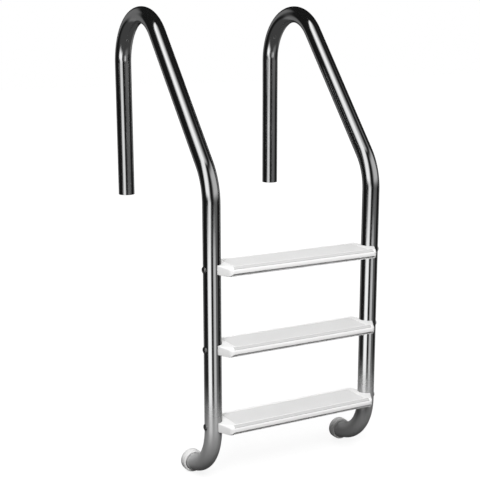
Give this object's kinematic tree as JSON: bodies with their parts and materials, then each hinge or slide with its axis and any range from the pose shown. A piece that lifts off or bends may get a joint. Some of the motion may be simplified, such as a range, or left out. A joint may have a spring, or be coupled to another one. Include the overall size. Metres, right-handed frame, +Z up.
{
  "type": "pool ladder",
  "caption": "In-ground pool ladder with bent tube handrails, moulded treads bolted between them, and rubber wall bumpers on the feet.",
  "frame": {"origin": "midway between the open lower ends of the two deck legs, in the plane of those ends", "axes": "+Z up, +Y from the pool towards the deck, X across the ladder with +X at the right hand of someone climbing out"},
  "size_m": [0.5716, 0.6622, 1.3032],
  "materials": {
    "rail_steel": "mirror-polished stainless tube, softer towards the feet",
    "tread_plastic": "moulded, fine non-slip grain on top, satin edges",
    "bumper_rubber": "soft matt",
    "fastener_steel": "plain stainless"
  },
  "bodies": {
    "root": {"left_rail": "rail_steel", "right_rail": "rail_steel", "top_tread": "tread_plastic", "middle_tread": "tread_plastic", "bottom_tread": "tread_plastic", "left_bumper": "bumper_rubber", "right_bumper": "bumper_rubber", "top_left_bolt": "fastener_steel", "top_left_saddle_washer": "fastener_steel", "top_left_flat_washer": "fastener_steel", "top_left_nut": "fastener_steel", "middle_left_bolt": "fastener_steel", "middle_left_saddle_washer": "fastener_steel", "middle_left_flat_washer": "fastener_steel", "middle_left_nut": "fastener_steel", "bottom_left_bolt": "fastener_steel", "bottom_left_saddle_washer": "fastener_steel", "bottom_left_flat_washer": "fastener_steel", "bottom_left_nut": "fastener_steel", "top_right_bolt": "fastener_steel", "top_right_saddle_washer": "fastener_steel", "top_right_flat_washer": "fastener_steel", "top_right_nut": "fastener_steel", "middle_right_bolt": "fastener_steel", "middle_right_saddle_washer": "fastener_steel", "middle_right_flat_washer": "fastener_steel", "middle_right_nut": "fastener_steel", "bottom_right_bolt": "fastener_steel", "bottom_right_saddle_washer": "fastener_steel", "bottom_right_flat_washer": "fastener_steel", "bottom_right_nut": "fastener_steel"}
  },
  "joints": []
}
